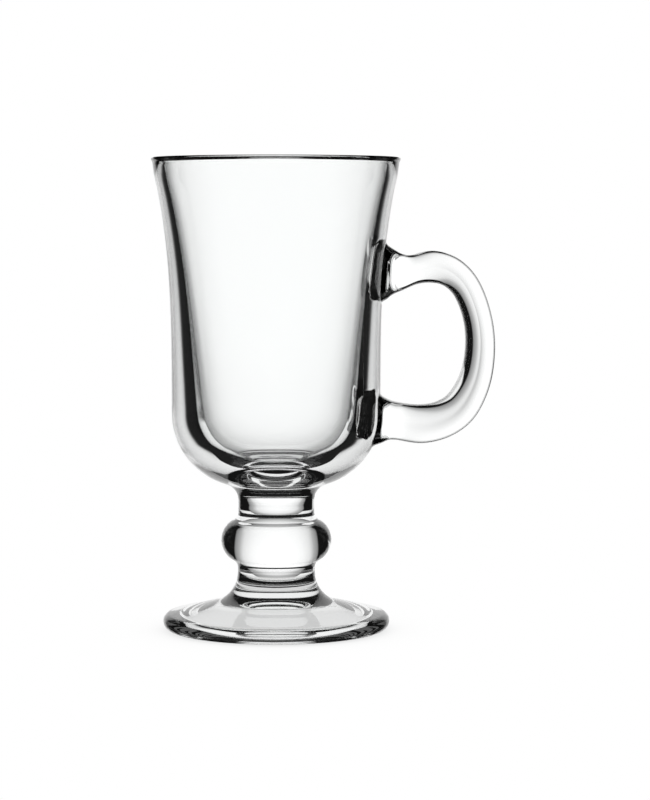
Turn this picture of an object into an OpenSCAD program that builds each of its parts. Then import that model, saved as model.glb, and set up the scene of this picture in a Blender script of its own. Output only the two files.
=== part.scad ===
// Irish coffee mug of thick pressed glass: a flared bowl with a D handle, on a knopped stem and a round foot.
// The origin is on the axis, in the plane that the foot rests on. +Z is up and the handle points to +X.
// The four pieces meet face to face, as the gathers of a hot-joined mug do.

/* [Bowl] */
// Height of the rim above the table
mug_h = 148; // [144:0.5:156]
// Outer radius that the flare reaches at the rim
rim_r = 39.4; // [38:0.1:42]
// Outer radius of the bowl's straight lower part
waist_r = 32.7; // [31.5:0.1:34]
// Height at which the wall starts to flare above and to round in below
waist_z = 68; // [66.5:0.5:71]
// How late the flare opens: 1 is a straight cone, more keeps the wall upright for longer
flare_power = 3.3; // [2.6:0.1:4]
// Radius of the rounding under the bowl
base_round_r = 23; // [21.5:0.5:24]
// Fillet from the bowl's underside into the neck
base_fillet_r = 5.5; // [4.5:0.5:6.5]
// Wall just below the lip
lip_wall = 3.4; // [2.8:0.1:4]
// Wall at the waist, where the cavity rounds in
waist_wall = 7.6; // [6.5:0.1:8.5]
// How fast the wall thins from the waist to the lip
wall_power = 1.5; // [1.3:0.1:2]
// Height over which the lip's edge is rounded
lip_round_h = 1.8; // [1.2:0.1:2.5]
// Height at which the cavity starts to round in
cavity_z = 69; // [67.5:0.5:70.5]
// Depth of the cavity's rounded bottom
cavity_round_h = 19.5; // [18:0.1:20.5]

/* [Stem] */
// Radius of the neck above the knop
neck_r = 11.9; // [11:0.1:12.8]
// Radius of the neck below the knop
low_neck_r = 12.1; // [11.2:0.1:13]
// Radius of the knop at its widest
knop_r = 17.3; // [16.3:0.1:18.5]
// Radius of the knop's rounded edge
knop_round_r = 7.1; // [6.4:0.1:7.6]
// Fillet between the knop and each neck
knop_fillet_r = 2.8; // [2:0.1:3.4]

/* [Foot] */
// Radius of the foot
foot_r = 35.6; // [34:0.1:38]
// Radius of the foot's rounded edge
foot_edge_r = 2.65; // [2.2:0.05:3]
// Fall of the foot's upper face from the stem to the edge, in degrees
foot_slope = 13; // [11:0.5:14.5]
// Fillet between the foot and the neck
foot_fillet_r = 10; // [8.5:0.5:11]
// Width of the flat ring that the foot rests on
rest_ring_w = 4; // [2.5:0.5:7]
// Rise of the domed hollow under the foot
hollow_h = 8.5; // [7:0.1:9.5]

/* [Handle] */
// Distance from the bowl's waist to the outside of the handle
handle_reach = 35.8; // [33:0.1:39]
// Distance from the rim's height down to the middle of the upper root
handle_drop = 35.6; // [32:0.1:38]
// Distance between the middles of the two roots
handle_span = 46.2; // [44.5:0.1:48.5]
// Thickness of the handle's side, seen from its flat face
handle_t = 9.2; // [8.3:0.1:10]
// Width of the handle across its flat faces
handle_w = 11; // [9:0.1:13]
// Radius of the handle's long edges
handle_edge_r = 2.6; // [1.8:0.1:3.4]
// Height of the moulded lands above the wall, where the handle's roots are joined
land_rise = 0.2; // [0.1:0.05:0.6]

/* [Hidden] */
$fn = 96;

// Steps along the flare, along each arc and between two stations of the handle
FLARE_STEPS = 22;
ARC_STEPS = 12;
STATION_STEPS = 3;
CORNER_STEPS = 4;
// Steps within which the handle's sections turn from upright at a root to square across the strap
TURN_STEPS = 7;

// Straight glass left on the bowl and on the foot beyond their fillets, up to the joint with the stem
bowl_neck_l = 1.5;
foot_neck_l = 0.7;
// Where the knop sits between the stem's two ends
knop_place_share = 0.46;
// Width of the handle's roots, as a share of its width, and how far along they have narrowed
root_width_share = 1.3;
root_narrow_share = 0.16;

// The handle's centre line from the upper root to the lower one. Each station holds its distance out, as a
// share of the reach, its height, as a share of the span above the lower root, and its thickness, as a share
// of the side's. The upper arm dips and rises into a thumb rest, and the lower arm is the heavier one.
station_shares = [
    [0, 1, 1.86],
    [0.048, 1, 1.61],
    [0.155, 1, 1.26],
    [0.289, 1.013, 1],
    [0.471, 1.033, 1.08],
    [0.666, 1.003, 1.05],
    [0.836, 0.903, 0.99],
    [0.955, 0.724, 0.965],
    [1, 0.513, 1],
    [0.954, 0.279, 1.07],
    [0.809, 0.088, 1.19],
    [0.611, -0.004, 1.26],
    [0.394, -0.032, 1.3],
    [0.201, -0.017, 1.25],
    [0.088, -0.006, 1.32],
    [0, 0, 1.6],
];
last_station = len(station_shares) - 1;

function mix(a, b, t) = a + (b - a) * t;

// Points on an arc round c, from angle a to angle b
function arc(c, r, a, b, steps = ARC_STEPS) =
    [for (i = [0:steps]) c + r * [cos(mix(a, b, i / steps)), sin(mix(a, b, i / steps))]];

// Outer radius and wall of the bowl at height z, above the waist and in the rounding below it
function flare_share(z) = max((z - waist_z) / (mug_h - waist_z), 0);
function flare_r(z) = waist_r + (rim_r - waist_r) * pow(flare_share(z), flare_power);
function bowl_r(z) = z >= waist_z ? flare_r(z)
    : waist_r - base_round_r + sqrt(max(pow(base_round_r, 2) - pow(waist_z - z, 2), 0));
function wall(z) = mix(lip_wall, waist_wall, pow(min((mug_h - z) / (mug_h - cavity_z), 1), wall_power));

// The lip is a half ellipse that leans out with the wall
lip_lean = atan((rim_r - waist_r) * flare_power / (mug_h - waist_z));
lip_rise = norm([lip_wall / 2 * sin(lip_lean), lip_round_h * cos(lip_lean)]);
lip_z = mug_h - lip_rise;
lip_mid = [flare_r(lip_z) - lip_wall / 2 * cos(lip_lean), lip_z];
function lip_point(a) = lip_mid
    + lip_wall / 2 * cos(a) * [cos(lip_lean), -sin(lip_lean)]
    + lip_round_h * sin(a) * [sin(lip_lean), cos(lip_lean)];
lip_low_z = lip_point(0)[1];
lip_inner_z = lip_point(180)[1];

// The cavity's bottom is half an ellipse that runs into the slope of the wall
cavity_slope = atan((waist_wall - lip_wall) * wall_power / (mug_h - cavity_z));
cavity_turn = atan(tan(cavity_slope) * cavity_round_h / (bowl_r(cavity_z) - waist_wall));
cavity_r = (bowl_r(cavity_z) - waist_wall) / cos(cavity_turn);
cavity_mid_z = cavity_z + cavity_round_h * sin(cavity_turn);
cavity_floor = [for (i = [0:ARC_STEPS]) let (a = mix(-90, -cavity_turn, i / ARC_STEPS))
    [cavity_r * cos(a), cavity_mid_z + cavity_round_h * sin(a)]];

// Under the bowl a convex rounding runs into the fillet of the neck
base_mid = [waist_r - base_round_r, waist_z];
base_fillet_x = neck_r + base_fillet_r;
base_fillet_z = waist_z - sqrt(pow(base_round_r + base_fillet_r, 2) - pow(base_fillet_x - base_mid[0], 2));
base_turn = atan2(base_fillet_z - waist_z, base_fillet_x - base_mid[0]);
bowl_bottom_z = base_fillet_z - bowl_neck_l;

// The foot's upper face is tangent to its rounded edge and to the fillet of the neck
edge_mid = [foot_r - foot_edge_r, foot_edge_r];
edge_top = edge_mid + foot_edge_r * [sin(foot_slope), cos(foot_slope)];
cone_z = edge_top[1] + (edge_top[0] - low_neck_r) * tan(foot_slope);
foot_fillet_z = cone_z + foot_fillet_r * (1 - sin(foot_slope)) / cos(foot_slope);
foot_top_z = foot_fillet_z + foot_neck_l;
hollow_r = edge_mid[0] - rest_ring_w;
hollow_sphere_r = (pow(hollow_r, 2) + pow(hollow_h, 2)) / (2 * hollow_h);
hollow_angle = asin(hollow_r / hollow_sphere_r);

// The knop is a rounded ring between the two necks
knop_z = mix(foot_top_z, bowl_bottom_z, knop_place_share);
knop_mid = [knop_r - knop_round_r, knop_z];
function knop_turn(r) = acos((r + knop_fillet_r - knop_mid[0]) / (knop_round_r + knop_fillet_r));
function knop_fillet_mid(r, side) =
    [r + knop_fillet_r, knop_z + side * (knop_round_r + knop_fillet_r) * sin(knop_turn(r))];

// Heights of the handle's roots and the planes of the lands that carry them
high_root_z = mug_h - handle_drop;
low_root_z = high_root_z - handle_span;
high_root_h = handle_t * station_shares[0][2];
low_root_h = handle_t * station_shares[last_station][2];
root_w = handle_w * root_width_share;
high_land_x = bowl_r(high_root_z + high_root_h / 2) + land_rise;
low_land_x = max(bowl_r(low_root_z), bowl_r(low_root_z + low_root_h / 2)) + land_rise;
handle_mid_x = waist_r + handle_reach - handle_t / 2;

// A station's place and thickness in real sizes, taken from the land that its half of the handle grows from
function station(i) =
    let (s = station_shares[i],
         land_x = s[1] > 1 / 2 ? high_land_x : low_land_x)
    [mix(land_x, handle_mid_x, s[0]), mix(low_root_z, high_root_z, s[1]), handle_t * s[2]];

// A smooth curve through four stations, from the second to the third
function through(a, b, c, d, t) =
    (2 * b + (c - a) * t + (2 * a - 5 * b + 4 * c - d) * t * t + (3 * b - a - 3 * c + d) * t * t * t) / 2;
function strap_at(i, t) = through(station(max(i - 1, 0)), station(i),
    station(min(i + 1, last_station)), station(min(i + 2, last_station)), t);
strap = [for (i = [0:last_station - 1], k = [0:STATION_STEPS - 1]) strap_at(i, k / STATION_STEPS),
         station(last_station)];
strap_end = len(strap) - 1;

// Direction across the strap, in its own plane. Both roots are cut upright, to lie flat on their lands, and
// the sections next to a root turn little by little, so that none crosses the one before it.
function across(k) =
    let (d = strap[min(k + 1, strap_end)] - strap[max(k - 1, 0)],
         square = [-d[1], d[0]] / norm([d[0], d[1]]),
         upright = [0, k < strap_end / 2 ? 1 : -1],
         turned = mix(upright, square, min(k, strap_end - k, TURN_STEPS) / TURN_STEPS))
    turned / norm(turned);

// The strap is wider at its roots and narrows to its own width within a short stretch
function root_share(k) = let (near = min(k, strap_end - k) / (strap_end * root_narrow_share))
    near >= 1 ? 0 : (1 + cos(180 * near)) / 2;
function strap_w(k) = mix(handle_w, root_w, root_share(k));

// A rectangle with rounded corners, as a list of points
function rounded(w, h, r) = [for (c = [[1, 1, 0], [-1, 1, 90], [-1, -1, 180], [1, -1, 270]])
    each arc([c[0] * (w / 2 - r), c[1] * (h / 2 - r)], r, c[2], c[2] + 90, CORNER_STEPS)];

function strap_section(k) = let (n = across(k), s = strap[k])
    [for (p = rounded(strap_w(k), s[2], handle_edge_r)) [s[0] + n[0] * p[1], p[0], s[1] + n[1] * p[1]]];

module bowl() {
    color([0.86, 0.92, 0.93, 0.5]) {
        rotate_extrude() polygon(bowl_outline());
        land(high_land_x, high_root_z, high_root_h);
        land(low_land_x, low_root_z, low_root_h);
    }
}

function bowl_outline() = concat(
    cavity_floor,
    [for (i = [1:FLARE_STEPS - 1]) let (z = mix(cavity_z, lip_inner_z, i / FLARE_STEPS)) [bowl_r(z) - wall(z), z]],
    [for (i = [0:ARC_STEPS]) lip_point(mix(180, 0, i / ARC_STEPS))],
    [for (i = [1:FLARE_STEPS - 1]) let (z = mix(lip_low_z, waist_z, i / FLARE_STEPS)) [bowl_r(z), z]],
    arc(base_mid, base_round_r, 0, base_turn),
    arc([base_fillet_x, base_fillet_z], base_fillet_r, 180 + base_turn, 180),
    [[neck_r, bowl_bottom_z], [0, bowl_bottom_z]]
);

// A flat land for one root of the handle. It starts inside the wall, between its two faces.
module land(x, z, h) {
    inner_x = bowl_r(z + h / 2) - wall(z + h / 2);
    outer_x = sqrt(pow(bowl_r(z - h / 2), 2) - pow(root_w / 2, 2));
    start_x = mix(inner_x, outer_x, 1 / 2);
    translate([start_x, 0, z]) rotate([90, 0, 90])
        linear_extrude(x - start_x) polygon(rounded(root_w, h, handle_edge_r));
}

module handle() {
    n = len(strap_section(0));
    points = [for (k = [0:strap_end]) each strap_section(k)];
    sides = [for (k = [0:strap_end - 1], i = [0:n - 1])
        let (a = k * n + i, b = k * n + (i + 1) % n)
        each [[a, a + n, b], [b, a + n, b + n]]];
    ends = [[for (i = [0:n - 1]) i], [for (i = [n - 1:-1:0]) strap_end * n + i]];
    color([0.8, 0.88, 0.9, 0.55]) polyhedron(points, concat(sides, ends));
}

module stem() {
    high = knop_turn(neck_r);
    low = knop_turn(low_neck_r);
    color([0.78, 0.86, 0.88, 0.6]) rotate_extrude() polygon(concat(
        [[0, bowl_bottom_z], [neck_r, bowl_bottom_z]],
        arc(knop_fillet_mid(neck_r, 1), knop_fillet_r, 180, 180 + high),
        arc(knop_mid, knop_round_r, high, -low),
        arc(knop_fillet_mid(low_neck_r, -1), knop_fillet_r, 180 - low, 180),
        [[low_neck_r, foot_top_z], [0, foot_top_z]]
    ));
}

module foot() {
    color([0.82, 0.89, 0.91, 0.55]) rotate_extrude() polygon(concat(
        [[0, foot_top_z], [low_neck_r, foot_top_z]],
        arc([low_neck_r + foot_fillet_r, foot_fillet_z], foot_fillet_r, 180, 270 - foot_slope),
        arc(edge_mid, foot_edge_r, 90 - foot_slope, -90),
        [for (i = [0:ARC_STEPS]) let (a = hollow_angle * (1 - i / ARC_STEPS))
            [hollow_sphere_r * sin(a), hollow_sphere_r * (cos(a) - cos(hollow_angle))]]
    ));
}

bowl();
handle();
stem();
foot();
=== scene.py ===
"""An irish coffee mug of clear pressed glass, standing in front of a bright panel.

The bowl and its handle are modelled as one smooth skin, as they are when the hot glass has run together,
and are parted where the handle is joined on. The stem and the foot are turned forms that meet the bowl ring
to ring. Sizes are in metres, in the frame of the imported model.
"""

import logging
import math
from dataclasses import dataclass, field
from enum import Enum, IntEnum
from functools import reduce

import bmesh
import bpy
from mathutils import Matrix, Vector


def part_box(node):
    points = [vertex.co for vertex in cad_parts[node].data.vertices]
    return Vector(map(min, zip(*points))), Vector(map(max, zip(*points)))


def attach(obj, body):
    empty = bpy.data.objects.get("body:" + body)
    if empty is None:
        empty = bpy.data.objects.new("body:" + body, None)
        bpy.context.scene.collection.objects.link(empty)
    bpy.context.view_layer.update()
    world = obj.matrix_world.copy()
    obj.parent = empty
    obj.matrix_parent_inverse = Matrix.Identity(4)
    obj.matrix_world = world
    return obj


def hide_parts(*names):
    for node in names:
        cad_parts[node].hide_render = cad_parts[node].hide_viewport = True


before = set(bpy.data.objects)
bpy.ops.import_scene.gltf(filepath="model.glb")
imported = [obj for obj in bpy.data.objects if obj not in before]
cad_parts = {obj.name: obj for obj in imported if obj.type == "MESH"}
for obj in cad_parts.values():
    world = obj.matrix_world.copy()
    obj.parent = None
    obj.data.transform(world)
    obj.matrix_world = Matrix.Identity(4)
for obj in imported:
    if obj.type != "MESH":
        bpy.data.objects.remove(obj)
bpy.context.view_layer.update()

LOG = logging.getLogger("mug")
MM = 0.001
SEGMENTS = 48
LEVELS = 2
STRAP_POINTS = 16
SMOOTH_ANGLE = math.radians(50)
# Corners that are nearer to each other than this are in the same place
SAME_PLACE = 1e-7
# The bowl's rings over each root of the handle, in pitches above its middle
ROOT_ROWS = (2, 1, 0, -1, -2)
# An upright ray counts as this far out to the side, so that it too has a way seen from above
LEAST_LEVEL = 1e-4
# A smooth ring through a polygon's corners lies a little inside them
RING_SHRINK = (2 + math.cos(2 * math.pi / SEGMENTS)) / 3

Point = tuple[float, float]
Place = tuple[float, float, float]


class Slot(Enum):
    """The record's material slots."""

    BOWL = "bowl_glass"
    HANDLE = "handle_glass"
    STEM = "stem_glass"
    FOOT = "foot_glass"


class Skin(IntEnum):
    """The material index of each part of the skin that the bowl and the handle share."""

    BOWL = 0
    HANDLE = 1


def mix(a: float, b: float, t: float) -> float:
    """Returns the value a share t of the way from a to b."""
    return a + (b - a) * t


def arc(middle: Point, radius: float, start: float, end: float, steps: int) -> list[Point]:
    """Places points on an arc.

    Args:
        middle: The arc's centre, as radius and height.
        radius: The arc's radius.
        start: The first point's angle, in degrees.
        end: The last point's angle, in degrees.
        steps: How many steps the arc has.

    Returns:
        The points, as radius and height.
    """
    turns = [math.radians(mix(start, end, i / steps)) for i in range(steps + 1)]
    return [(middle[0] + radius * math.cos(a), middle[1] + radius * math.sin(a)) for a in turns]


def cage_through(points: list[tuple], closed: bool = False, rounds: int = 14) -> list[tuple]:
    """Finds the control points whose smooth curve passes through the points given.

    Args:
        points: The points that the finished curve passes through.
        closed: Whether the curve is a loop. The ends of an open one stay where they are.
        rounds: How many times the control points are corrected.

    Returns:
        As many control points.
    """
    cage = [list(p) for p in points]
    count = len(cage)
    inner = range(count) if closed else range(1, count - 1)
    for _ in range(rounds):
        smooth = {i: [(a + 4 * b + c) / 6 for a, b, c in zip(cage[i - 1], cage[i], cage[(i + 1) % count])]
                  for i in inner}
        for i, limit in smooth.items():
            cage[i] = [c + p - s for c, p, s in zip(cage[i], points[i], limit)]
    return [tuple(p) for p in cage]


class Work:
    """One object in the making: its cage is drawn ring by ring in edit mode, then smoothed."""

    def __init__(self, name: str, first: Point) -> None:
        """Adds the first ring of a turned form.

        Args:
            name: The object's name.
            first: The ring's radius and height.
        """
        self.rest()
        bpy.ops.mesh.primitive_circle_add(vertices=SEGMENTS, radius=first[0], location=(0, 0, first[1]))
        self.piece = bpy.context.object
        self.piece.name = name
        self.piece.data.name = name
        bpy.ops.object.transform_apply(location=True, rotation=True, scale=True)
        bpy.ops.object.mode_set(mode="EDIT")
        bpy.ops.mesh.select_all(action="SELECT")
        self.at = first

    @staticmethod
    def rest() -> None:
        """Leaves edit mode and deselects every object."""
        if bpy.context.object and bpy.context.object.mode != "OBJECT":
            bpy.ops.object.mode_set(mode="OBJECT")
        bpy.ops.object.select_all(action="DESELECT")

    def ring(self, radius: float, height: float) -> None:
        """Extrudes the selected ring.

        Args:
            radius: The new ring's radius.
            height: The new ring's height.
        """
        bpy.ops.mesh.extrude_edges_move(TRANSFORM_OT_translate={"value": (0, 0, height - self.at[1])})
        share = radius / self.at[0]
        bpy.ops.transform.resize(value=(share, share, 1), center_override=(0, 0, height))
        self.at = (radius, height)

    def pole(self, height: float) -> None:
        """Closes the selected ring in one point on the axis."""
        bpy.ops.mesh.extrude_edges_move(TRANSFORM_OT_translate={"value": (0, 0, height - self.at[1])})
        bpy.ops.mesh.merge(type="CENTER")

    def mesh(self) -> bmesh.types.BMesh:
        """Opens the mesh in edit mode, with its lists ready to index.

        Returns:
            The mesh.
        """
        bm = bmesh.from_edit_mesh(self.piece.data)
        bm.verts.ensure_lookup_table()
        bm.faces.ensure_lookup_table()
        return bm

    def smooth(self) -> None:
        """Turns the faces outwards and applies the subdivision that makes the cage a smooth form."""
        bpy.ops.mesh.select_all(action="SELECT")
        bpy.ops.mesh.normals_make_consistent(inside=False)
        self.rest()
        bpy.context.view_layer.objects.active = self.piece
        self.piece.select_set(True)
        modifier = self.piece.modifiers.new("smooth", "SUBSURF")
        modifier.levels = LEVELS
        modifier.render_levels = LEVELS
        bpy.ops.object.modifier_apply(modifier=modifier.name)


def turned(name: str, profile: list[Point], top_open: bool, end_open: bool) -> Work:
    """Makes the cage of a turned form whose smooth surface follows a profile.

    Args:
        name: The object's name.
        profile: The profile's points, as radius and height. A point of radius 0 is a pole.
        top_open: Whether the first point is an open ring.
        end_open: Whether the last point is an open ring.

    Returns:
        The work, in edit mode.
    """
    cage = cage_through(profile)
    rings = cage if top_open else cage[1:]
    rings = rings if end_open else rings[:-1]
    scaled = [(r / RING_SHRINK, z) for r, z in rings]
    work = Work(name, scaled[0])
    if not top_open:
        bpy.ops.mesh.extrude_edges_move(TRANSFORM_OT_translate={"value": (0, 0, cage[0][1] - scaled[0][1])})
        bpy.ops.mesh.merge(type="CENTER")
        bm = work.mesh()
        for vert in bm.verts:
            vert.select = abs(vert.co.z - scaled[0][1]) < SAME_PLACE < vert.co.xy.length
        bm.select_flush(True)
        bmesh.update_edit_mesh(work.piece.data)
    for radius, height in scaled[1:]:
        work.ring(radius, height)
    if not end_open:
        work.pole(cage[-1][1])
    return work


def cap(piece: bpy.types.Object, joint: bpy.types.Material) -> None:
    """Closes the open rings of a finished form with joint faces, which lie inside the fused glass.

    Args:
        piece: The object, smoothed and in object mode.
        joint: The material of the joint faces.
    """
    Work.rest()
    bpy.context.view_layer.objects.active = piece
    piece.select_set(True)
    piece.data.materials.append(joint)
    bm = bmesh.new()
    bm.from_mesh(piece.data)
    rims = [e for e in bm.edges if e.is_boundary]
    made = bmesh.ops.holes_fill(bm, edges=rims, sides=0)
    for face in made["faces"]:
        face.material_index = len(piece.data.materials) - 1
        face.smooth = False
    bmesh.ops.recalc_face_normals(bm, faces=bm.faces)
    bm.to_mesh(piece.data)
    bm.free()
    bpy.ops.object.shade_smooth_by_angle(angle=SMOOTH_ANGLE)


@dataclass(frozen=True)
class Lip:
    """The lip: a wide rounding on the inside, and a low bead that stands out on the outside."""

    wall: float = 3.4 * MM
    round_w: float = 2.2 * MM
    round_h: float = 1.5 * MM
    bead_r: float = 0.75 * MM
    outer_r: float = 38.95 * MM
    # How far the top lies under the mug's full height
    top_gap: float = 0.02 * MM
    # The rings' turns: 180 on the cavity's wall, 90 at the top and 0 at the outside
    inner_turns: tuple[float, ...] = (176, 150, 124, 100)
    outer_turns: tuple[float, ...] = (92, 48, 0)
    # The wall under the bead, as radius and height, from the top down
    neck: tuple[Point, ...] = ((38.56 * MM, 146.5 * MM), (38.42 * MM, 145.6 * MM), (38.19 * MM, 143.9 * MM))


@dataclass
class Bowl:
    """The cup of the mug, from the bottom of its cavity over the lip and down to the neck."""

    mug_h: float = 148 * MM
    # The flare: the radius that it would reach at full height, where it starts, and how late it opens
    rim_r: float = 39.4 * MM
    waist_r: float = 32.7 * MM
    waist_z: float = 68 * MM
    flare_power: float = 3.3
    # The rounding of the underside, and the fillet from there into the neck
    base_r: float = 23 * MM
    fillet_r: float = 5.5 * MM
    neck_r: float = 11.9 * MM
    neck_l: float = 1.5 * MM
    lip: Lip = field(default_factory=Lip)
    # The wall's thickness where the cavity's bottom begins, and how late it thickens on the way down there
    waist_wall: float = 7.6 * MM
    wall_power: float = 1.5
    cavity_z: float = 69 * MM
    cavity_h: float = 19.3 * MM
    # 2 makes the cavity's bottom an ellipse, and more makes it squarer
    cavity_power: float = 2.45
    # The cavity's rings: shares of its bottom from the axis out, depths under the lip's rounding, and from
    # even_from under that rounding to the bottom, even ones
    bottom_rows: tuple[float, ...] = (0, 0.03, 0.08, 0.16, 0.27, 0.4, 0.53, 0.66, 0.78, 0.89, 1)
    upper_rows: tuple[float, ...] = (3.6 * MM, 8.2 * MM)
    even_from: float = 13 * MM
    even_rows: int = 13

    def radius(self, z: float) -> float:
        """Works out the outer radius at a height.

        Args:
            z: The height.

        Returns:
            The radius: of the flare above the waist, and of the round base below it.
        """
        if z >= self.waist_z:
            share = (z - self.waist_z) / (self.mug_h - self.waist_z)
            return self.waist_r + (self.rim_r - self.waist_r) * share ** self.flare_power
        return self.waist_r - self.base_r + math.sqrt(max(self.base_r ** 2 - (self.waist_z - z) ** 2, 0))

    def wall(self, z: float) -> float:
        """Returns the wall's thickness at a height."""
        share = min(max((self.mug_h - z) / (self.mug_h - self.cavity_z), 0), 1)
        return mix(self.lip.wall, self.waist_wall, share ** self.wall_power)

    def inside(self, z: float) -> float:
        """Returns the cavity's radius at a height."""
        return self.radius(z) - self.wall(z)

    def lip_low(self) -> float:
        """Returns the height at which the lip's inner rounding begins."""
        return self.mug_h - self.lip.top_gap - self.lip.round_h

    def lip_points(self) -> list[Point]:
        """Draws the lip from the cavity's wall over the top and down the outside.

        Returns:
            The points, as radius and height.
        """
        lip = self.lip
        low = self.lip_low()
        wall_r = self.inside(low)
        bead_x, bead_z = lip.outer_r - lip.bead_r, self.mug_h - lip.top_gap - lip.bead_r
        rounding = [(wall_r + lip.round_w * (1 + math.cos(t)), low + lip.round_h * math.sin(t))
                    for t in map(math.radians, lip.inner_turns)]
        bead = [(bead_x + lip.bead_r * math.cos(t), bead_z + lip.bead_r * math.sin(t))
                for t in map(math.radians, lip.outer_turns)]
        return rounding + bead + list(lip.neck)

    def cavity_bottom(self) -> list[Point]:
        """Draws the cavity's rounded bottom from the axis to where the wall begins.

        Returns:
            The points, as radius and height.
        """
        slope = (self.waist_wall - self.lip.wall) * self.wall_power / (self.mug_h - self.cavity_z)
        turn = math.atan(slope * self.cavity_h / self.inside(self.cavity_z))
        power = 2 / self.cavity_power
        reach = self.inside(self.cavity_z) / math.cos(turn) ** power
        middle_z = self.cavity_z + self.cavity_h * math.sin(turn) ** power
        turns = [mix(-math.pi / 2, -turn, s) for s in self.bottom_rows]
        points = [(reach * math.cos(t) ** power, middle_z - self.cavity_h * math.sin(-t) ** power)
                  for t in turns]
        return [(0.0, points[0][1])] + points[1:]

    def fillet_middle(self) -> Point:
        """Finds the centre of the fillet between the bowl's underside and the neck.

        Returns:
            The centre, as radius and height.
        """
        x = self.neck_r + self.fillet_r
        fall = math.sqrt((self.base_r + self.fillet_r) ** 2 - (x - self.waist_r + self.base_r) ** 2)
        return x, self.waist_z - fall

    def bottom_z(self) -> float:
        """Returns the height of the joint with the stem."""
        return self.fillet_middle()[1] - self.neck_l

    def profile(self, rows: list[float]) -> list[Point]:
        """Draws the whole profile from the middle of the cavity's floor to the neck.

        Args:
            rows: The heights of the rings on the outside, from the top down.

        Returns:
            The points, as radius and height.
        """
        low = self.lip_low()
        even = (i / self.even_rows for i in range(self.even_rows))
        inner = [low - depth for depth in self.upper_rows]
        inner += [mix(low - self.even_from, self.cavity_z, share) for share in even]
        fillet = self.fillet_middle()
        turn = math.degrees(math.atan2(fillet[1] - self.waist_z, fillet[0] - self.waist_r + self.base_r))
        last = math.degrees(math.asin((rows[-1] - self.waist_z) / self.base_r))
        base = arc((self.waist_r - self.base_r, self.waist_z), self.base_r, last, turn, steps=6)[1:]
        return (
            self.cavity_bottom()
            + [(self.inside(z), z) for z in reversed(inner)]
            + self.lip_points()
            + [(self.radius(z), z) for z in rows]
            + base
            + arc(fillet, self.fillet_r, 180 + turn, 180, steps=4)[1:]
            + [(self.neck_r, mix(fillet[1], self.bottom_z(), 0.5)), (self.neck_r, self.bottom_z())]
        )


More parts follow.
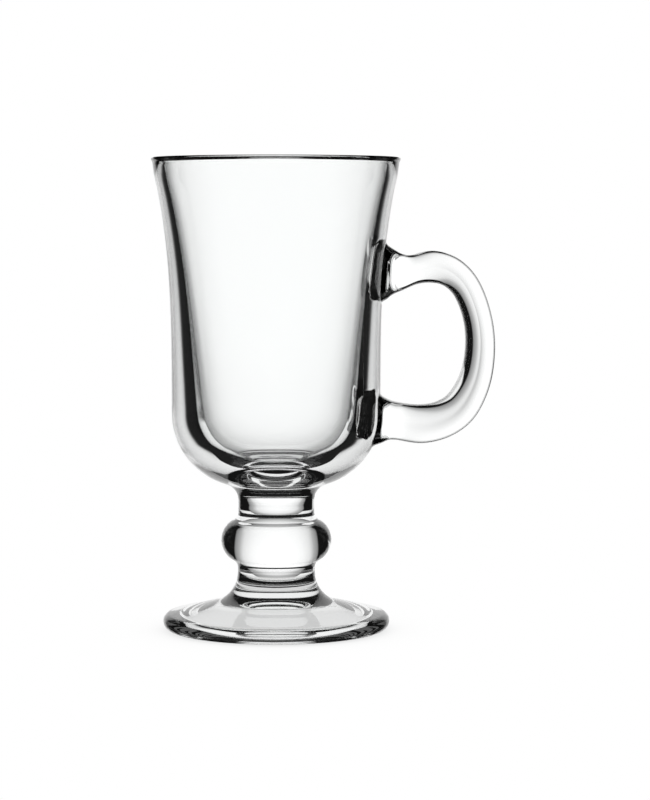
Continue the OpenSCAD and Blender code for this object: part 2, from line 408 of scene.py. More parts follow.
@dataclass
class Handle:
    """The D handle: a strap of rounded section, with a thumb rest on its upper arm and spread roots."""

    # How far it stands out from the waist, how deep under the lip it starts, and how far apart its roots are
    reach: float = 35.75 * MM
    drop: float = 35.6 * MM
    span: float = 46.2 * MM
    # The strap's section: its thickness from the side, its width, and the rounding of its edges
    thick: float = 9.2 * MM
    wide: float = 11 * MM
    edge_r: float = 3.4 * MM
    # The roots: how far out from the wall, how much wider, over what share of the strap, and their soft edge
    land_rise: float = 0.2 * MM
    root_wide: float = 1.3
    root_length: float = 0.16
    root_edge: float = 0.8 * MM
    # The pitch of the bowl's rings over the upper and the lower root
    high_pitch: float = 4.9 * MM
    low_pitch: float = 4.4 * MM
    # Sections to each station, and how many of them turn from upright at a root to square with the strap
    steps: int = 2
    turn_sections: int = 5
    # Share of the reach, share of the span above the lower root, and share of the side's thickness
    stations: tuple[Place, ...] = (
        (0, 1, 1.86), (0.048, 1, 1.61), (0.155, 1, 1.26), (0.289, 1.013, 1), (0.471, 1.033, 1.08),
        (0.666, 1.003, 1.05), (0.836, 0.903, 0.99), (0.955, 0.724, 0.965), (1, 0.513, 1),
        (0.954, 0.279, 1.07), (0.809, 0.088, 1.19), (0.611, -0.004, 1.26), (0.394, -0.032, 1.3),
        (0.201, -0.017, 1.25), (0.088, -0.006, 1.32), (0, 0, 1.6),
    )

    def root_z(self, bowl: Bowl) -> tuple[float, float]:
        """Returns the heights of the upper and the lower root."""
        high = bowl.mug_h - self.drop
        return high, high - self.span

    def land_x(self, bowl: Bowl) -> tuple[float, float]:
        """Finds how far out the roots start.

        Args:
            bowl: The bowl that the handle stands on.

        Returns:
            The distances from the axis of the upper and the lower root.
        """
        high, low = self.root_z(bowl)
        half_high, half_low = (self.thick * self.stations[i][2] / 2 for i in (0, -1))
        return (bowl.radius(high + half_high) + self.land_rise,
                max(bowl.radius(low), bowl.radius(low + half_low)) + self.land_rise)

    def strap(self, bowl: Bowl) -> list[Place]:
        """Runs a smooth curve through the stations, which heads at each from the one before to the one after.

        Args:
            bowl: The bowl that the handle stands on.

        Returns:
            The distance out, the height and the thickness at each step.
        """
        high_x, low_x = self.land_x(bowl)
        high_z, low_z = self.root_z(bowl)
        middle_x = bowl.waist_r + self.reach - self.thick / 2
        placed = []
        for out, up, side in self.stations:
            start_x = high_x if up > 0.5 else low_x
            placed.append(Vector((mix(start_x, middle_x, out), mix(low_z, high_z, up), self.thick * side)))
        ends = [placed[0]] + placed + [placed[-1]]
        curve = []
        for a, b, c, d in zip(ends, ends[1:], ends[2:], ends[3:]):
            for t in (k / self.steps for k in range(self.steps)):
                curve.append(tuple((2 * b + (c - a) * t + (2 * a - 5 * b + 4 * c - d) * t * t
                                    + (3 * b - a - 3 * c + d) * t * t * t) / 2))
        return curve + [tuple(placed[-1])]

    def section(self, width: float, height: float, edge: float = 0.0) -> list[Point]:
        """Draws a rectangle with rounded corners, from its first corner round.

        Args:
            width: The rectangle's width.
            height: The rectangle's height.
            edge: How far the outline is let out all round.

        Returns:
            Its control points.
        """
        points = []
        width, height, radius = width + 2 * edge, height + 2 * edge, self.edge_r + edge
        for side, up, start in ((1, 1, 0), (-1, 1, 90), (-1, -1, 180), (1, -1, 270)):
            middle = (side * (width / 2 - radius), up * (height / 2 - radius))
            points += arc(middle, radius, start, start + 90, steps=2)
            points.append((0, up * height / 2) if start % 180 == 0 else (side * width / 2, 0))
        loop = points[1:] + points[:1]
        return cage_through(loop, closed=True)

    def footing(self, bowl: Bowl, upper: bool) -> list[Place]:
        """Draws the outline on the bowl's wall within which a root rises.

        Args:
            bowl: The bowl that the handle stands on.
            upper: Whether it is the upper root.

        Returns:
            The outline's control points.
        """
        z = self.root_z(bowl)[0 if upper else 1]
        thick = self.thick * self.stations[0 if upper else -1][2]
        outline = self.section(self.wide * self.root_wide, thick, self.root_edge)
        turn = 1 if upper else -1
        return [(math.sqrt(bowl.radius(z + turn * v) ** 2 - u * u), u, z + turn * v) for u, v in outline]

    def rings(self, bowl: Bowl) -> list[list[Place]]:
        """Places the control points of the strap's sections from the upper root to the lower one.

        Args:
            bowl: The bowl that the handle stands on.

        Returns:
            One list of control points for each section.
        """
        strap = self.strap(bowl)
        last = len(strap) - 1
        rings = []
        for k, (x, z, thick) in enumerate(strap):
            before, after = strap[max(k - 1, 0)], strap[min(k + 1, last)]
            square = Vector((before[1] - after[1], after[0] - before[0])).normalized()
            upright = Vector((0, 1 if k < last / 2 else -1))
            turned_by = min(k, last - k, self.turn_sections) / self.turn_sections
            across = upright.lerp(square, turned_by).normalized()
            near = min(k, last - k) / (last * self.root_length)
            spread = 0 if near >= 1 else (1 + math.cos(math.pi * near)) / 2
            width = mix(self.wide, self.wide * self.root_wide, spread)
            rings.append([(x + across.x * v, u, z + across.y * v) for u, v in self.section(width, thick)])
        columns = [cage_through([ring[i] for ring in rings]) for i in range(STRAP_POINTS)]
        return [[column[k] for column in columns] for k in range(last + 1)]


@dataclass
class Cup:
    """The bowl and the handle, grown together."""

    bowl: Bowl = field(default_factory=Bowl)
    handle: Handle = field(default_factory=Handle)
    # The heights of the bowl's outer rings above the roots, and how many rings lie between the roots
    top_rows: tuple[float, ...] = (141.6 * MM, 137.6 * MM, 133.7 * MM, 129.8 * MM, 125.9 * MM)
    between_rows: int = 6
    # How far round the bowl a root's hole reaches to each side
    hole_turn: float = math.radians(15)

    def rows(self) -> list[float]:
        """Spaces the rings on the bowl's outside so that both roots start on whole faces.

        Returns:
            The rings' heights, from the top down.
        """
        high, low = self.handle.root_z(self.bowl)
        around_high = [high + self.handle.high_pitch * i for i in ROOT_ROWS]
        around_low = [low + self.handle.low_pitch * i for i in ROOT_ROWS]
        gaps = self.between_rows + 1
        between = [mix(around_high[-1], around_low[0], i / gaps) for i in range(1, gaps)]
        return list(self.top_rows) + around_high + between + around_low

    def open_root(self, work: Work, height: float, reach: float) -> None:
        """Takes out a square of faces where a root of the handle starts.

        Args:
            work: The cage of the bowl, in edit mode.
            height: The root's height.
            reach: How far the square reaches up and down from there.
        """
        bpy.ops.mesh.select_mode(type="FACE")
        bpy.ops.mesh.select_all(action="DESELECT")
        bm = work.mesh()
        for face in bm.faces:
            place = face.calc_center_median()
            outside = place.xy.length > self.bowl.radius(place.z) - self.bowl.wall(place.z) / 2
            turn = abs(math.atan2(place.y, place.x))
            face.select = outside and turn < self.hole_turn and abs(place.z - height) < reach
        bmesh.update_edit_mesh(work.piece.data)
        bpy.ops.mesh.delete(type="FACE")

    def rim(self, bm: bmesh.types.BMesh, height: float, reach: float) -> list[bmesh.types.BMVert]:
        """Returns the corners of the hole for a root, in order."""
        near = [v for v in bm.verts if v.is_boundary and v.co.x > 0 and abs(v.co.z - height) < reach]
        return self.ordered(near, height)

    def grow_handle(self, work: Work) -> None:
        """Grows the strap from the upper hole to the lower one, section by section.

        Args:
            work: The cage of the bowl, in edit mode.
        """
        high, low = self.handle.root_z(self.bowl)
        half = max(ROOT_ROWS)
        self.open_root(work, high, half * self.handle.high_pitch)
        self.open_root(work, low, half * self.handle.low_pitch)
        bm = work.mesh()
        previous = self.rim(bm, high, (half + 1) * self.handle.high_pitch)
        last = self.rim(bm, low, (half + 1) * self.handle.low_pitch)
        rings = self.handle.rings(self.bowl)
        rings = [self.handle.footing(self.bowl, True)] + rings + [self.handle.footing(self.bowl, False)]
        for k, ring in enumerate(rings):
            fresh = [bm.verts.new(place) for place in ring]
            self.sleeve(bm, previous, fresh, Skin.HANDLE if 1 < k < len(rings) - 1 else Skin.BOWL)
            previous = fresh
        self.sleeve(bm, self.ordered(previous, low), last, Skin.BOWL)
        bmesh.update_edit_mesh(work.piece.data)

    @staticmethod
    def ordered(ring: list[bmesh.types.BMVert], height: float) -> list[bmesh.types.BMVert]:
        """Puts a ring's corners in order round the root's axis.

        Args:
            ring: The corners.
            height: The root's height.

        Returns:
            The corners, from the one that lies highest along +Y.
        """
        turned_round = sorted(ring, key=lambda v: math.atan2(v.co.z - height, v.co.y))
        first = max(range(len(ring)), key=lambda i: turned_round[i].co.y + turned_round[i].co.z)
        return turned_round[first:] + turned_round[:first]

    @staticmethod
    def sleeve(bm: bmesh.types.BMesh, one: list[bmesh.types.BMVert], two: list[bmesh.types.BMVert],
               part: Skin) -> None:
        """Joins two rings of corners with a sleeve of faces.

        Args:
            bm: The mesh.
            one: The first ring.
            two: The second ring, in the same order.
            part: The part of the skin that the faces belong to.
        """
        for corners in zip(one, one[1:] + one[:1], two[1:] + two[:1], two):
            bm.faces.new(corners).material_index = part

    def build(self, bowl_glass: bpy.types.Material, handle_glass: bpy.types.Material,
              joint: bpy.types.Material) -> tuple[bpy.types.Object, bpy.types.Object]:
        """Builds the bowl and the handle as one skin and parts them at the roots.

        Args:
            bowl_glass: The bowl's finish.
            handle_glass: The handle's finish.
            joint: The material of the faces inside the fused glass.

        Returns:
            The bowl and the handle.
        """
        work = turned("bowl_skin", self.bowl.profile(self.rows()), top_open=False, end_open=True)
        self.grow_handle(work)
        work.piece.data.materials.append(bowl_glass)
        work.piece.data.materials.append(handle_glass)
        work.smooth()
        bowl = work.piece
        for polygon in bowl.data.polygons:
            polygon.use_smooth = True
        seam = self.seam_normals(bowl.data)
        bpy.ops.object.mode_set(mode="EDIT")
        bpy.ops.mesh.select_all(action="DESELECT")
        bpy.ops.object.mode_set(mode="OBJECT")
        for polygon in bowl.data.polygons:
            polygon.select = polygon.material_index == Skin.HANDLE
        bpy.ops.object.mode_set(mode="EDIT")
        bpy.ops.mesh.separate(type="SELECTED")
        bpy.ops.object.mode_set(mode="OBJECT")
        handle = next(o for o in bpy.context.selected_objects if o is not bowl)
        handle.name = handle.data.name = "handle_skin"
        for piece, glass in ((bowl, bowl_glass), (handle, handle_glass)):
            piece.data.materials.clear()
            piece.data.materials.append(glass)
            for polygon in piece.data.polygons:
                polygon.material_index = 0
            cap(piece, joint)
            self.keep_normals(piece.data, seam)
        return bowl, handle

    @staticmethod
    def seam_normals(data: bpy.types.Mesh) -> dict[tuple[int, int, int], Vector]:
        """Notes the whole skin's normals along the line where the handle is parted from the bowl.

        Args:
            data: The skin's mesh.

        Returns:
            The normals, by place.
        """
        slots: dict[int, set[int]] = {}
        for polygon in data.polygons:
            for index in polygon.vertices:
                slots.setdefault(index, set()).add(polygon.material_index)
        return {Cup.key(data.vertices[i].co): data.vertices[i].normal.copy()
                for i, found in slots.items() if len(found) > 1}

    @staticmethod
    def key(place: Vector) -> tuple[int, int, int]:
        """Returns a place in whole steps, so that the same place on two pieces has the same key."""
        return tuple(round(c / SAME_PLACE) for c in place)

    @staticmethod
    def keep_normals(data: bpy.types.Mesh, seam: dict[tuple[int, int, int], Vector]) -> None:
        """Gives a parted piece the whole skin's normals along its seam, so that light runs on across it.

        Args:
            data: The piece's mesh.
            seam: The whole skin's normals, by place.
        """
        normals = [Vector(n.vector) for n in data.corner_normals]
        for polygon in data.polygons:
            if polygon.material_index:
                continue
            for loop in polygon.loop_indices:
                found = seam.get(Cup.key(data.vertices[data.loops[loop].vertex_index].co))
                if found is not None:
                    normals[loop] = found
        data.normals_split_custom_set(normals)


@dataclass
class Stem:
    """The short solid stem, with a rounded knop between its two necks."""

    neck_r: float = 11.9 * MM
    low_neck_r: float = 12.1 * MM
    knop_r: float = 17.3 * MM
    round_r: float = 7.1 * MM
    fillet_r: float = 2.8 * MM
    # The knop's height, as a share of the way up
    knop_share: float = 0.46
    # The rings of each neck, as shares of the way down it
    neck_rows: Point = (0.4, 0.8)
    low_neck_rows: Point = (0.2, 0.6)

    def build(self, top_z: float, bottom_z: float, glass: bpy.types.Material,
              joint: bpy.types.Material) -> bpy.types.Object:
        """Builds the stem between the bowl and the foot.

        Args:
            top_z: The height of the joint with the bowl.
            bottom_z: The height of the joint with the foot.
            glass: The stem's finish.
            joint: The material of the faces inside the fused glass.

        Returns:
            The stem.
        """
        middle = (self.knop_r - self.round_r, mix(bottom_z, top_z, self.knop_share))
        turns, fillets = [], []
        for side, neck in ((1, self.neck_r), (-1, self.low_neck_r)):
            reach = self.round_r + self.fillet_r
            turn = math.acos((neck + self.fillet_r - middle[0]) / reach)
            turns.append(math.degrees(turn))
            fillets.append((neck + self.fillet_r, middle[1] + side * reach * math.sin(turn)))
        high, low = turns
        profile = (
            [(self.neck_r, mix(top_z, fillets[0][1], s)) for s in (0, *self.neck_rows)]
            + arc(fillets[0], self.fillet_r, 180, 180 + high, steps=4)
            + arc(middle, self.round_r, high, -low, steps=12)[1:-1]
            + arc(fillets[1], self.fillet_r, 180 - low, 180, steps=4)
            + [(self.low_neck_r, mix(fillets[1][1], bottom_z, s)) for s in (*self.low_neck_rows, 1)]
        )
        work = turned("stem_skin", profile, top_open=True, end_open=True)
        work.smooth()
        work.piece.data.materials.append(glass)
        cap(work.piece, joint)
        return work.piece


@dataclass
class Foot:
    """The round foot: a sloping upper face, a rounded edge, a flat resting ring and a domed hollow."""

    radius: float = 35.6 * MM
    edge_r: float = 2.65 * MM
    slope: float = 13
    fillet_r: float = 10 * MM
    ring_w: float = 4 * MM
    hollow_h: float = 8.5 * MM
    neck_r: float = 12.1 * MM
    neck_l: float = 0.7 * MM
    # How many rings lie on the sloping upper face, between its fillet and the rounded edge
    slope_rows: int = 4
    # The resting ring's rings: how soft its edges are, and steps of that from its outer and its inner edge
    ring_edge: float = 0.5 * MM
    outer_rows: Point = (1, 3.5)
    inner_rows: Point = (1.6, 0.5)
    # The ring lies this far up, because the smoothed edge beside it sinks a little
    rest_gap: float = 0.03 * MM
    # The hollow's rings, as shares of the turn from its middle to its edge
    hollow_rows: tuple[float, ...] = (0.975, 0.93, 0.85, 0.74, 0.61, 0.47, 0.33, 0.2, 0.1, 0.04, 0)

    def fillet_z(self) -> float:
        """Finds where the fillet runs into the neck.

        Returns:
            The height.
        """
        slope = math.radians(self.slope)
        edge = (self.radius - self.edge_r * (1 - math.sin(slope)), self.edge_r * (1 + math.cos(slope)))
        cone = edge[1] + (edge[0] - self.neck_r) * math.tan(slope)
        return cone + self.fillet_r * (1 - math.sin(slope)) / math.cos(slope)

    def top_z(self) -> float:
        """Returns the height of the joint with the stem."""
        return self.fillet_z() + self.neck_l

    def build(self, glass: bpy.types.Material, joint: bpy.types.Material) -> bpy.types.Object:
        """Builds the foot.

        Args:
            glass: The foot's finish.
            joint: The material of the faces inside the fused glass.

        Returns:
            The foot.
        """
        edge = (self.radius - self.edge_r, self.edge_r)
        hollow_r = edge[0] - self.ring_w
        sphere_r = (hollow_r ** 2 + self.hollow_h ** 2) / (2 * self.hollow_h)
        angle = math.asin(hollow_r / sphere_r)
        fillet_middle = (self.neck_r + self.fillet_r, self.fillet_z())
        fillet = arc(fillet_middle, self.fillet_r, 180, 270 - self.slope, steps=6)
        rim = arc(edge, self.edge_r, 90 - self.slope, -90, steps=8)[:-1] + [(edge[0], self.rest_gap)]
        gaps = self.slope_rows + 1
        cone = [tuple(mix(a, b, i / gaps) for a, b in zip(fillet[-1], rim[0])) for i in range(1, gaps)]
        ring = [(edge[0] - self.ring_edge * s, self.rest_gap) for s in self.outer_rows]
        ring += [(hollow_r + self.ring_edge * s, self.rest_gap) for s in self.inner_rows]
        hollow = [(sphere_r * math.sin(a), sphere_r * (math.cos(a) - math.cos(angle)))
                  for a in (angle * s for s in self.hollow_rows)]
        profile = [(self.neck_r, self.top_z())] + fillet + cone + rim + ring + hollow
        work = turned("foot_skin", profile, top_open=True, end_open=False)
        work.smooth()
        work.piece.data.materials.append(glass)
        cap(work.piece, joint)
        return work.piece


class Net:
    """Builds a node tree with short calls."""

    def __init__(self, tree: bpy.types.NodeTree) -> None:
        """Starts from an empty tree."""
        self.tree = tree
        tree.nodes.clear()

    def add(self, kind: str, **inputs: object) -> bpy.types.Node:
        """Adds a node.

        Args:
            kind: The node's type.
            **inputs: Values or sockets for its inputs, by name with spaces as underscores.

        Returns:
            The node.
        """
        node = self.tree.nodes.new(kind)
        for name, value in inputs.items():
            self.feed(node.inputs[name.replace("_", " ")], value)
        return node

    def feed(self, socket: bpy.types.NodeSocket, value: object) -> None:
        """Links a socket or sets its value.

        Args:
            socket: The node's input.
            value: A value, or the output to link.
        """
        if isinstance(value, bpy.types.NodeSocket):
            self.tree.links.new(value, socket)
        else:
            socket.default_value = value

    def math(self, operation: str, *values: object) -> bpy.types.NodeSocket:
        """Adds a math node.

        Args:
            operation: What the node does.
            *values: Its inputs.

        Returns:
            The result.
        """
        node = self.tree.nodes.new("ShaderNodeMath")
        node.operation = operation
        for socket, value in zip(node.inputs, values):
            self.feed(socket, value)
        return node.outputs[0]

    def step(self, value: object, low: float, high: float) -> bpy.types.NodeSocket:
        """Adds a smooth step.

        Args:
            value: What the step follows.
            low: Where the step is 0.
            high: Where it is 1. It may lie below low.

        Returns:
            The step's height.
        """
        node = self.tree.nodes.new("ShaderNodeMapRange")
        node.interpolation_type = "SMOOTHSTEP"
        flip = high < low
        for name, number in (("From Min", min(low, high)), ("From Max", max(low, high)),
                             ("To Min", 1.0 if flip else 0.0), ("To Max", 0.0 if flip else 1.0)):
            node.inputs[name].default_value = number
        self.feed(node.inputs["Value"], value)
        return node.outputs["Result"]

    def curve(self, value: object, points: tuple[Point, ...]) -> bpy.types.NodeSocket:
        """Follows straight lines between points, and stays level beyond the ends.

        Args:
            value: How far along the lines.
            points: Places along them, each with its height.

        Returns:
            The height.
        """
        total = points[0][1]
        for (x0, y0), (x1, y1) in zip(points, points[1:]):
            node = self.tree.nodes.new("ShaderNodeMapRange")
            for name, number in (("From Min", x0), ("From Max", x1), ("To Min", 0.0), ("To Max", y1 - y0)):
                node.inputs[name].default_value = number
            self.feed(node.inputs["Value"], value)
            total = self.math("ADD", total, node.outputs["Result"])
        return total

    def mixed(self, factor: object, one: object, two: object) -> bpy.types.NodeSocket:
        """Returns a value a share of the way from one value to another."""
        return self.math("MULTIPLY_ADD", factor, self.math("SUBTRACT", two, one), one)

    def length(self, one: object, two: object) -> bpy.types.NodeSocket:
        """Returns how long a line is that goes one value across and the other up."""
        squares = (self.math("MULTIPLY", side, side) for side in (one, two))
        return self.math("SQRT", self.math("ADD", *squares))

    def most(self, first: object, *others: object) -> bpy.types.NodeSocket:
        """Returns the greatest of several values."""
        return reduce(lambda one, two: self.math("MAXIMUM", one, two), others, first)

    def straight(self) -> bpy.types.NodeSocket:
        """Returns 1 for a ray that nothing has mirrored on its way, and 0 for any other."""
        return self.math("LESS_THAN", self.add("ShaderNodeLightPath").outputs["Glossy Depth"], 1)

    def blend(self, factor: object, one: object, two: object) -> bpy.types.NodeSocket:
        """Mixes two shaders.

        Args:
            factor: The second shader's share.
            one: The first shader.
            two: The second shader.

        Returns:
            The mix.
        """
        node = self.tree.nodes.new("ShaderNodeMixShader")
        for socket, value in zip(node.inputs, (factor, one, two)):
            self.feed(socket, value)
        return node.outputs[0]


@dataclass(frozen=True)
class Waves:
    """The faint waves that a mould and a flame leave on pressed glass: long ones and upright streaks."""

    # Scales are in waves to a metre or so, and the streaks' stretch is their scale upright to that across
    long_scale: float = 26.0
    long_height: float = 0.08 * MM
    streak_scale: float = 95.0
    streak_stretch: float = 0.22
    streak_height: float = 0.022 * MM
    detail: float = 1.0
    detail_share: float = 0.4

    def group(self) -> bpy.types.NodeTree:
        """Makes the node group that all the glass shares, or finds it where it is made already.

        Returns:
            The group, which puts out the waves' height in metres.
        """
        found = bpy.data.node_groups.get("pressed_waves")
        if found:
            return found
        tree = bpy.data.node_groups.new("pressed_waves", "ShaderNodeTree")
        tree.interface.new_socket("Height", in_out="OUTPUT", socket_type="NodeSocketFloat")
        net = Net(tree)
        place = net.add("ShaderNodeTexCoord").outputs["Object"]
        upright = net.add("ShaderNodeMapping", Vector=place, Scale=(1, 1, self.streak_stretch))
        swell = net.add("ShaderNodeTexNoise", Vector=place, Scale=self.long_scale, Detail=self.detail,
                        Roughness=self.detail_share)
        streak = net.add("ShaderNodeTexNoise", Vector=upright.outputs[0], Scale=self.streak_scale,
                         Detail=self.detail, Roughness=self.detail_share)
        height = net.math("MULTIPLY_ADD", streak.outputs[0], self.streak_height,
                          net.math("MULTIPLY", swell.outputs[0], self.long_height))
        out = net.add("NodeGroupOutput")
        net.feed(out.inputs["Height"], height)
        return tree


@dataclass(frozen=True)
class Glass:
    """A clear pressed glass. With painted edge shade, its colour is darkened where its faces are seen at a
    slant.
    """

    slot: Slot
    tint: Place = (0.985, 0.992, 0.99)
    roughness: float = 0.0
    ior: float = 1.52
    # How strong the painted shade on the edges is; 0 leaves it out
    painted_edge_shade: float = 0.0
    # The slant at which the painted edge shade begins, and at which it is full
    painted_shade_slant: Point = (0.28, 0.62)
    # The colour of the painted edge shade
    painted_shade_colour: Place = (0.02, 0.02, 0.02)

    def make(self) -> bpy.types.Material:
        """Makes the material.

        Returns:
            The material. It lets light through its shadow.
        """
        material = bpy.data.materials.new(self.slot.value)
        material.use_nodes = True
        net = Net(material.node_tree)
        waves = net.add("ShaderNodeGroup")
        waves.node_tree = Waves().group()
        bump = net.add("ShaderNodeBump", Height=waves.outputs["Height"], Strength=1.0, Distance=1.0)
        body = net.add("ShaderNodeBsdfPrincipled", Normal=bump.outputs[0], Roughness=self.roughness,
                       IOR=self.ior)
        body.inputs["Base Color"].default_value = (*self.tint, 1)
        # Painted edge shade: the colour darkens at a slant to draw the glass's dark edges
        if self.painted_edge_shade:
            net.feed(body.inputs["Base Color"], self.paint_edge_shade(net))
        body.inputs["Transmission Weight"].default_value = 1.0
        clear = net.add("ShaderNodeBsdfTransparent")
        path = net.add("ShaderNodeLightPath")
        out = net.add("ShaderNodeOutputMaterial")
        surface = net.blend(path.outputs["Is Shadow Ray"], body.outputs[0], clear.outputs[0])
        net.feed(out.inputs["Surface"], surface)
        return material

    def paint_edge_shade(self, net: Net) -> bpy.types.NodeSocket:
        """Paints shade into the tint where light enters a face at a slant, standing in for dark edges.

        Args:
            net: The material's nodes.

        Returns:
            The colour.
        """
        slant = net.step(net.add("ShaderNodeLayerWeight").outputs["Facing"], *self.painted_shade_slant)
        entering = net.math("SUBTRACT", 1.0, net.add("ShaderNodeNewGeometry").outputs["Backfacing"])
        colour = net.add("ShaderNodeMix")
        colour.data_type = "RGBA"
        factor, one, two = (next(i for i in colour.inputs if i.identifier == name)
                            for name in ("Factor_Float", "A_Color", "B_Color"))
        net.feed(factor, net.math("MULTIPLY", net.math("MULTIPLY", slant, entering), self.painted_edge_shade))
        net.feed(one, (*self.tint, 1))
        net.feed(two, (*self.painted_shade_colour, 1))
        return next(o for o in colour.outputs if o.identifier == "Result_Color")


def joint_material() -> bpy.types.Material:
    """Makes the material of the faces inside the fused glass.

    Returns:
        The material, which light passes as if the faces weren't there.
    """
    material = bpy.data.materials.new("joint")
    material.use_nodes = True
    net = Net(material.node_tree)
    body = net.add("ShaderNodeBsdfPrincipled", Alpha=0.0)
    out = net.add("ShaderNodeOutputMaterial")
    net.feed(out.inputs["Surface"], body.outputs[0])
    return material


@dataclass(frozen=True)
class Camera:
    """The camera: a little lower than the lip, so that the lip's front hides the cavity's mouth."""

    distance: float = 0.85
    height: float = 0.1298
    aside: float = 0.0153
    pitch: float = 3.88
    lens: float = 122.27
    sensor: float = 36
    sight: float = 20

    def build(self) -> None:
        """Puts the camera at the photo's viewing angle."""
        data = bpy.data.cameras.new("camera")
        data.sensor_fit = "VERTICAL"
        data.sensor_height = self.sensor
        data.sensor_width = self.sensor
        data.lens = self.lens
        data.clip_end = self.sight
        camera = bpy.data.objects.new("camera", data)
        bpy.context.scene.collection.objects.link(camera)
        camera.location = (self.aside, -self.distance, self.height)
        camera.rotation_euler = (math.radians(90 - self.pitch), 0, 0)
        bpy.context.scene.camera = camera


@dataclass(frozen=True)
class Floor:
    """The pale floor: white to the camera but for the mug's shadow, and lit near the foot for the glass."""

    size: float = 8
    drop: float = 0.2 * MM
    shade_reach: float = 0.03
    shade_samples: int = 6
    shade_depth: float = 0.2
    light: float = 0.75
    # The distances from the axis at which the shadow is nothing and full, and the light is nothing and full
    shade_fade: Point = (0.08, 0.04)
    light_fade: Point = (0.06, 0.04)

    def build(self) -> None:
        """Lays the floor."""
        Work.rest()
        bpy.ops.mesh.primitive_plane_add(size=self.size, location=(0, 0, -self.drop))
        floor = bpy.context.object
        floor.name = "floor"
        material = bpy.data.materials.new("floor")
        material.use_nodes = True
        net = Net(material.node_tree)
        radius = net.add("ShaderNodeVectorMath", Vector=net.add("ShaderNodeTexCoord").outputs["Object"])
        radius.operation = "LENGTH"
        shade = net.add("ShaderNodeAmbientOcclusion", Distance=self.shade_reach)
        shade.samples = self.shade_samples
        depth = net.math("MULTIPLY", net.math("SUBTRACT", 1.0, shade.outputs["AO"]),
                         net.step(radius.outputs["Value"], *self.shade_fade))
        seen = net.add("ShaderNodeEmission", Strength=net.math("MULTIPLY_ADD", depth, -self.shade_depth, 1.0))
        under = net.add("ShaderNodeEmission", Strength=self.light)
        clear = net.add("ShaderNodeBsdfTransparent")
        near = net.step(radius.outputs["Value"], *self.light_fade)
        lit = net.blend(net.math("MULTIPLY", near, net.straight()), clear.outputs[0], under.outputs[0])
        path = net.add("ShaderNodeLightPath")
        out = net.add("ShaderNodeOutputMaterial")
        net.feed(out.inputs["Surface"], net.blend(path.outputs["Is Camera Ray"], lit, seen.outputs[0]))
        floor.data.materials.append(material)


@dataclass(frozen=True)
class Panel:
    """The bright panel behind the mug. It lights the glass, and the camera sees only white there."""

    away: float = 0.140
    half_w: float = 0.15
    low: float = -0.085
    high: float = 0.175
    # The panel's brightest place, how far its light spreads, and the light at shares of that spread
    middle: Point = (-0.004, 0.113)
    spread: Point = (0.098, 0.160)
    levels: tuple[Point, ...] = (
        (0.3, 1.19), (0.5, 1.14), (0.6, 1.06), (0.7, 0.93), (0.76, 0.84), (0.82, 0.66), (0.87, 0.5),
        (0.94, 0.4), (1.03, 0.28), (1.1, 0.0),
    )
    # The light that the glass's walls mirror, by distance to the side
    mirrored_levels: tuple[Point, ...] = (
        (0.085, 0.95), (0.1, 0.85), (0.113, 0.68), (0.120, 0.45), (0.127, 0.2), (0.135, 0.05), (0.15, 0.0),
    )
    # The share that is left of it for a ray that has been mirrored more than this many times
    again_share: float = 0.12
    again_times: int = 2
    # A ray that goes straight through the glass passes the panel where its light is less than this
    least: float = 0.05

    def build(self) -> None:
        """Stands the panel up."""
        Work.rest()
        bpy.ops.mesh.primitive_plane_add(size=1, location=(0, self.away, (self.low + self.high) / 2),
                                         rotation=(math.pi / 2, 0, 0))
        panel = bpy.context.object
        panel.name = "panel"
        panel.scale = (2 * self.half_w, self.high - self.low, 1)
        bpy.ops.object.transform_apply(location=True, rotation=True, scale=True)
        material = bpy.data.materials.new("panel")
        material.use_nodes = True
        net = Net(material.node_tree)
        path = net.add("ShaderNodeLightPath")
        straight = net.straight()
        level = self.level(net, straight)
        light = net.add("ShaderNodeEmission", Strength=level)
        clear = net.add("ShaderNodeBsdfTransparent")
        back = net.add("ShaderNodeNewGeometry").outputs["Backfacing"]
        unlit = net.math("MULTIPLY", straight, net.math("LESS_THAN", level, self.least))
        hidden = net.most(path.outputs["Is Camera Ray"], back, unlit)
        out = net.add("ShaderNodeOutputMaterial")
        net.feed(out.inputs["Surface"], net.blend(hidden, light.outputs[0], clear.outputs[0]))
        panel.data.materials.append(material)

    def level(self, net: Net, straight: bpy.types.NodeSocket) -> bpy.types.NodeSocket:
        """Shades the panel, in one way for straight rays and in another for mirrored ones.

        Args:
            net: The material's nodes.
            straight: 1 for a straight ray, and 0 for a mirrored one.

        Returns:
            The strength of the panel's light.
        """
        axes = net.add("ShaderNodeSeparateXYZ", Vector=net.add("ShaderNodeTexCoord").outputs["Object"])
        across, up = (
            net.math("DIVIDE", net.math("SUBTRACT", axes.outputs[name], middle), spread)
            for name, middle, spread in zip("XZ", self.middle, self.spread)
        )
        depth = net.add("ShaderNodeLightPath").outputs["Glossy Depth"]
        again = net.math("GREATER_THAN", depth, self.again_times)
        once = net.curve(net.math("ABSOLUTE", axes.outputs["X"]), self.mirrored_levels)
        mirrored = net.math("MULTIPLY", once, net.math("MULTIPLY_ADD", again, self.again_share - 1, 1.0))
        return net.mixed(straight, mirrored, net.curve(net.length(across, up), self.levels))


@dataclass(frozen=True)
class Sector:
    """A sector of the room, seen from above."""

    # The way it lies in, its light, and the degrees from that way at which the light is nothing and full
    way: Point
    light: float
    ends: Point

    def share(self, net: Net, x: bpy.types.NodeSocket, y: bpy.types.NodeSocket) -> bpy.types.NodeSocket:
        """Tells how much of its light a ray sees.

        Args:
            net: The world's nodes.
            x: The ray's X.
            y: The ray's Y.

        Returns:
            The light.
        """
        along = net.math("ADD", net.math("MULTIPLY", x, self.way[0]), net.math("MULTIPLY", y, self.way[1]))
        cosine = net.math("DIVIDE", along, net.most(net.length(x, y), LEAST_LEVEL))
        near = net.step(cosine, *(math.cos(math.radians(a)) for a in self.ends))
        return net.math("MULTIPLY", near, self.light)


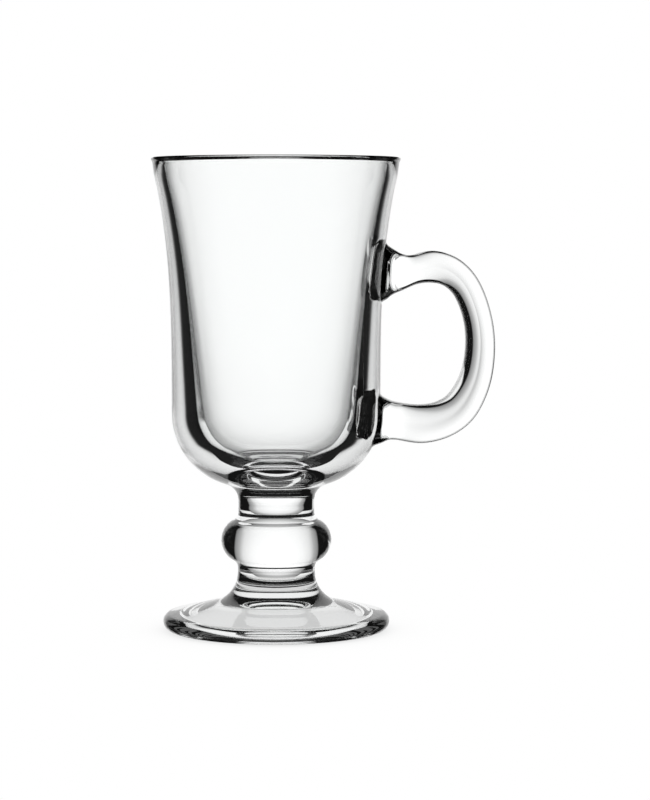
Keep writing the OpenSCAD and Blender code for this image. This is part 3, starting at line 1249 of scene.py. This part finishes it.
@dataclass(frozen=True)
class Room:
    """The room round the mug: white to the camera, and dark to the glass but for its bright walls and ground.

    Only rays that go straight through the glass see the walls and the ground, and behind the mug, under the
    panel, the ground is dark.
    """

    walls: tuple[Sector, ...] = (
        Sector(way=(-1, 0), light=1.0, ends=(23, 19)),
        Sector(way=(1, 0), light=0.3, ends=(23, 19)),
        Sector(way=(0, -1), light=1.0, ends=(72, 66)),
    )
    ground: Sector = Sector(way=(0, 1), light=1.0, ends=(17, 22))
    # The elevations, in degrees, at which the walls' light and the ground's light are nothing and full
    wall_top: Point = (14, 11)
    ground_top: Point = (-11, -14)
    dark: float = 0.007

    def build(self) -> None:
        """Makes the world."""
        world = bpy.data.worlds.new("room")
        bpy.context.scene.world = world
        world.use_nodes = True
        net = Net(world.node_tree)
        axes = net.add("ShaderNodeSeparateXYZ", Vector=net.add("ShaderNodeTexCoord").outputs["Generated"])
        x, y, z = (axes.outputs[a] for a in "XYZ")
        walls, ground = (
            net.math("MULTIPLY", light, net.step(z, *(math.sin(math.radians(a)) for a in top)))
            for light, top in ((net.most(*(wall.share(net, x, y) for wall in self.walls)), self.wall_top),
                               (self.ground.share(net, x, y), self.ground_top))
        )
        bright = net.math("MULTIPLY", net.most(walls, ground), net.straight())
        strength = net.most(bright, self.dark, net.add("ShaderNodeLightPath").outputs["Is Camera Ray"])
        background = net.add("ShaderNodeBackground", Color=(1, 1, 1, 1), Strength=strength)
        out = net.add("ShaderNodeOutputWorld")
        net.feed(out.inputs["Surface"], background.outputs[0])


@dataclass(frozen=True)
class Studio:
    """The camera, the floor, the bright panel and the room, with bounces enough for light in thick glass."""

    bounces: int = 32
    glossy_bounces: int = 16

    def build(self) -> None:
        """Sets up the whole studio."""
        scene = bpy.context.scene
        scene.view_settings.view_transform = "Standard"
        scene.cycles.max_bounces = self.bounces
        scene.cycles.transmission_bounces = self.bounces
        scene.cycles.glossy_bounces = self.glossy_bounces
        scene.cycles.transparent_max_bounces = self.bounces
        for part in (Camera(), Floor(), Panel(), Room()):
            part.build()


def dress(piece: bpy.types.Object, node: str) -> None:
    """Lets a finished piece stand for its CAD node.

    Args:
        piece: The finished piece.
        node: The CAD node's name.
    """
    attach(piece, "root")
    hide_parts(node)
    low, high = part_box(node)
    LOG.info("%s: %d faces, for node %s of %.1f mm height", piece.name, len(piece.data.polygons), node,
             (high[2] - low[2]) / MM)


def main() -> None:
    """Builds the mug and its studio."""
    logging.basicConfig(level=logging.INFO, format="%(name)s: %(message)s")
    joint = joint_material()
    cup = Cup()
    # The handle's glass gets painted shade on its edges
    bowl, handle = cup.build(Glass(Slot.BOWL).make(), Glass(Slot.HANDLE, painted_edge_shade=0.7).make(), joint)
    dress(bowl, "bowl")
    dress(handle, "handle")
    foot = Foot()
    stem_piece = Stem().build(cup.bowl.bottom_z(), foot.top_z(), Glass(Slot.STEM).make(), joint)
    dress(stem_piece, "stem")
    dress(foot.build(Glass(Slot.FOOT).make(), joint), "foot")
    Studio().build()


if __name__ == "__main__":
    main()
